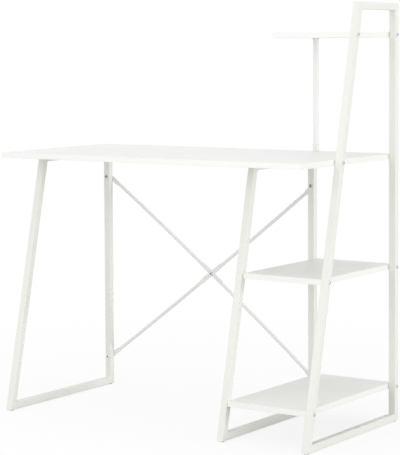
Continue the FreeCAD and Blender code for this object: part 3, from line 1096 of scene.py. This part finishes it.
# %% [markdown]
# ## The post under the top shelf
#
# A thin round tube stands on the desktop and carries the free end of the top shelf. A plastic
# collar hides the joint at its foot, and a flat one does so at its head. Both are moulded, so
# their edges are rounded. All three are turned on the lathe above, as hollow pieces.

# %% Build the post and its collars
POST_WALL = 0.0012
POST_EDGE = 0.0002  # radius of the post's rounded ends
COLLAR_EDGE = 0.0006
COLLAR_GAP = 0.0001  # between the post and a collar
EDGE_STEPS = 4


def turned_ring(outer, inner, height, edge):
    """A ring with rounded outer edges that stands on z = 0, drawn up its outside."""
    rings = [(circle(inner), 0)]
    for angle in quarter_turn(EDGE_STEPS):
        reach = outer - edge * (1 - math.sin(angle))
        rings.append((circle(reach), edge * (1 - math.cos(angle))))
    return lathe(both_ends(rings, height), hollow=True)


def turn_node(node, inner, edge, slot):
    """Replaces an upright round node by a turned ring of the same size."""
    low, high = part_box(node)
    outer = (high.x - low.x) / 2
    ring = turned_ring(outer, inner, high.z - low.z, edge)
    foot = Vector(((low.x + high.x) / 2, (low.y + high.y) / 2, low.z))
    bmesh.ops.transform(ring, matrix=Matrix.Translation(foot), verts=ring.verts)
    return add_piece(ring, node.replace("post", "turned_post"), slot, node)


post_low, post_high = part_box("shelf_post")
post_radius = (post_high.x - post_low.x) / 2
post = turn_node("shelf_post", post_radius - POST_WALL, POST_EDGE, "frame_paint")
mark(post, "neutral")
for collar in ("post_base_collar", "post_top_collar"):
    turn_node(collar, post_radius + COLLAR_GAP, COLLAR_EDGE, "white_collar")

# %% [markdown]
# ## The floor glides
#
# Under both ends of every foot rail is a dark plastic glide. Its foot is a flat button with a
# rounded rim, so that it slides over a threshold, and its stem is pushed into the tube.

# %% Build the glides
GLIDE_RADIUS = 0.0065
GLIDE_HEIGHT = 0.0025
GLIDE_ROUND = 0.0012
GLIDE_STEPS = 6
STEM_RADIUS = 0.0025
STEM_CHAMFER = 0.0008


def floor_glide(length):
    """A glide that stands on its foot, with the stem upwards."""
    rings = [(circle(GLIDE_RADIUS / 2), 0)]
    for angle in quarter_turn(GLIDE_STEPS):
        reach = GLIDE_RADIUS - GLIDE_ROUND * (1 - math.sin(angle))
        rings.append((circle(reach), GLIDE_ROUND * (1 - math.cos(angle))))
    rings += [
        (circle(GLIDE_RADIUS), GLIDE_HEIGHT),
        (circle(STEM_RADIUS), GLIDE_HEIGHT),
        (circle(STEM_RADIUS), length - STEM_CHAMFER),
        (circle(STEM_RADIUS - STEM_CHAMFER), length),
    ]
    return lathe(rings)


glides = bmesh.new()
for solid in islands("floor_glides"):
    foot, axis, length = standing(solid, STEM_RADIUS)
    put(glides, floor_glide(length), foot, axis)
add_piece(glides, "turned_glides", "glide_grey", "floor_glides")

# %% [markdown]
# ## The floor
#
# The studio's floor is pale grey paper. The little light that it sends back up leaves the
# undersides of the shelves and the inner faces of the frames darker than the rest, and that
# is what gives a white desk its shape. Yet the paper should look white. Light Path tells a
# material who is asking: the camera, a shiny surface, or the light that lands on something.

# %% Tell seeing from lighting
def seen_directly(tree):
    """1 for what the camera sees, also in a reflection or through glass, and 0 for light."""
    path = tree.nodes.new("ShaderNodeLightPath")
    seen = path.outputs["Is Camera Ray"]
    for kind in ("Is Glossy Ray", "Is Transmission Ray"):
        seen = arithmetic(tree, "MAXIMUM", seen, path.outputs[kind])
    return seen


print("the floor and the room both ask whether they are seen")

# %% [markdown]
# To the camera, and in anything shiny, the paper is mostly plain white, mixed with enough of
# its real shading to keep the desk's shadow. The share of real shading fades out away from
# the desk, so no horizon shows.

# %% Make the paper
PAPER_BOUNCE = (0.62, 0.62, 0.61)  # the paper's colour as far as the desk is concerned
PAPER_WHITE = (1.0, 1.0, 1.0)
SHADE_SHARE = 0.18  # how much of the paper's real shading the camera sees beside the desk
SHADE_FULL = 0.5  # metres from the desk's middle to where that share starts to fall
SHADE_GONE = 2.2  # and to where it is nothing


def whiteness(tree):
    """How far the paper's real shading gives way to white, by the distance from the desk."""
    distance = tree.nodes.new("ShaderNodeVectorMath")
    distance.operation = "LENGTH"
    feed(tree, distance.inputs[0], tree.nodes.new("ShaderNodeTexCoord").outputs["Object"])
    return stretch(
        tree, distance.outputs["Value"], smooth=True,
        from_min=SHADE_FULL, from_max=SHADE_GONE, to_min=1 - SHADE_SHARE, to_max=1.0,
    )


def floor_paper():
    """Grey paper that looks white to the camera, apart from the shadow around the desk."""
    material = bpy.data.materials.new("floor_paper")
    material.use_nodes = True
    tree = material.node_tree
    seen = seen_directly(tree)
    paper = tree.nodes["Principled BSDF"]
    paper.inputs["Roughness"].default_value = 1.0
    paper.inputs["Specular IOR Level"].default_value = 0.0
    feed(tree, paper.inputs["Base Color"], blend(tree, seen, PAPER_BOUNCE, PAPER_WHITE))
    glow = tree.nodes.new("ShaderNodeEmission")
    mix = tree.nodes.new("ShaderNodeMixShader")
    feed(tree, mix.inputs["Fac"], arithmetic(tree, "MULTIPLY", seen, whiteness(tree)))
    feed(tree, mix.inputs[1], paper.outputs["BSDF"])
    feed(tree, mix.inputs[2], glow.outputs["Emission"])
    feed(tree, tree.nodes["Material Output"].inputs["Surface"], mix.outputs["Shader"])
    return material


print("the paper's shading fades out from", SHADE_FULL, "to", SHADE_GONE, "m")

# %% [markdown]
# The floor itself is one large square.

# %% Lay the floor
FLOOR_REACH = 30.0

sheet = bmesh.new()
bmesh.ops.create_grid(sheet, x_segments=1, y_segments=1, size=FLOOR_REACH)
floor_mesh = bpy.data.meshes.new("floor")
sheet.to_mesh(floor_mesh)
sheet.free()
floor_mesh.materials.append(floor_paper())
floor = bpy.data.objects.new("floor", floor_mesh)
bpy.context.scene.collection.objects.link(floor)
print("the floor reaches", FLOOR_REACH, "m from the desk")

# %% [markdown]
# ## The light
#
# Most of the light comes from all around, as in a room with white walls. Like the paper, the
# room is plain white where it is seen and dimmer where it lights the desk.

# %% Light the room
ROOM_LIGHT = 0.75

room = bpy.data.worlds.new("white_room")
room.use_nodes = True
background = room.node_tree.nodes["Background"]
background.inputs["Color"].default_value = (1, 1, 1, 1)
seen = seen_directly(room.node_tree)
strength = stretch(room.node_tree, seen, to_min=ROOM_LIGHT, to_max=1.0)
feed(room.node_tree, background.inputs["Strength"], strength)
bpy.context.scene.world = room
bpy.context.scene.view_settings.view_transform = "Standard"
print("the room lights the desk with a strength of", ROOM_LIGHT)

# %% [markdown]
# A large soft panel overhead makes level surfaces a little brighter than upright ones. A
# second one at the front does the same for faces that look forward, and a third for those
# that look to the right. The lamps are weak, because white pieces lose their shape when they
# are lit until they clip.

# %% Hang the soft panels
def soft_panel(name, place, aim_height, size, watts):
    """A square lamp that faces a point above the desk's middle, unseen by the camera."""
    lamp = bpy.data.lights.new(name, "AREA")
    lamp.size = size
    lamp.energy = watts
    panel = bpy.data.objects.new(name, lamp)
    place = Vector(place)
    turn = (Vector((0, 0, aim_height)) - place).to_track_quat("-Z", "Y").to_matrix().to_4x4()
    panel.matrix_world = Matrix.Translation(place) @ turn
    panel.visible_camera = False
    bpy.context.scene.collection.objects.link(panel)
    print(name, "gives", watts, "W")


soft_panel("overhead_panel", (-0.3, -0.6, 3.2), aim_height=0.4, size=3.0, watts=14.5)
soft_panel("front_panel", (0.4, -3.2, 1.0), aim_height=0.5, size=2.5, watts=35)
soft_panel("right_panel", (8.0, 2.4, 0.6), aim_height=0.5, size=2.5, watts=268)
